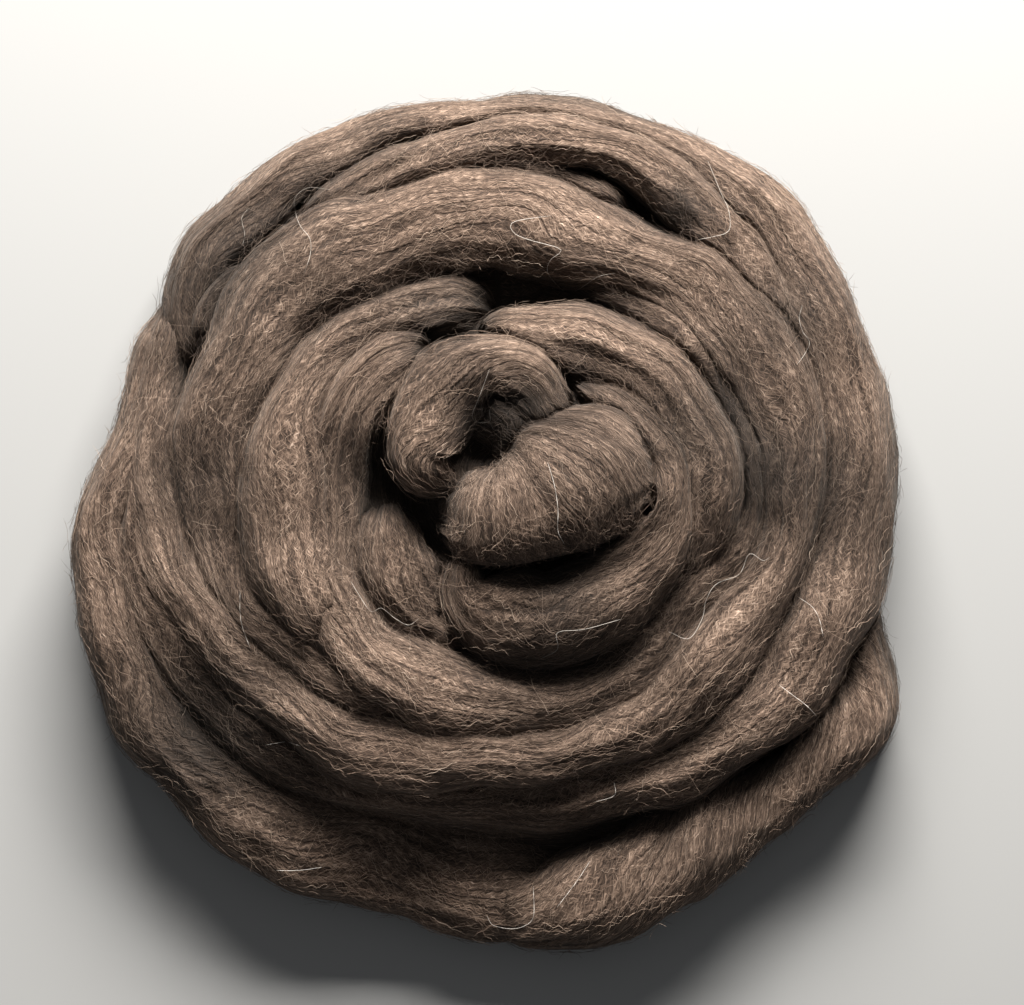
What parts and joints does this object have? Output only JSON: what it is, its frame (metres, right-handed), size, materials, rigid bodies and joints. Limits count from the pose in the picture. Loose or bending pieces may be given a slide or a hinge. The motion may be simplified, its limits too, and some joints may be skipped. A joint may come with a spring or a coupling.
{
  "type": "wool roving nest",
  "caption": "Length of natural grey-brown combed wool roving laid in a loose flat round nest with a folded knob over the middle",
  "frame": {"origin": "middle of the outline on the flat resting face", "axes": "+Z up from the resting face, +X right and +Y up as the nest is seen from straight above"},
  "size_m": [0.2487, 0.2584, 0.0631],
  "materials": {
    "wool": "matt, fibrous"
  },
  "bodies": {
    "root": {"roving_nest": "wool"}
  },
  "joints": []
}
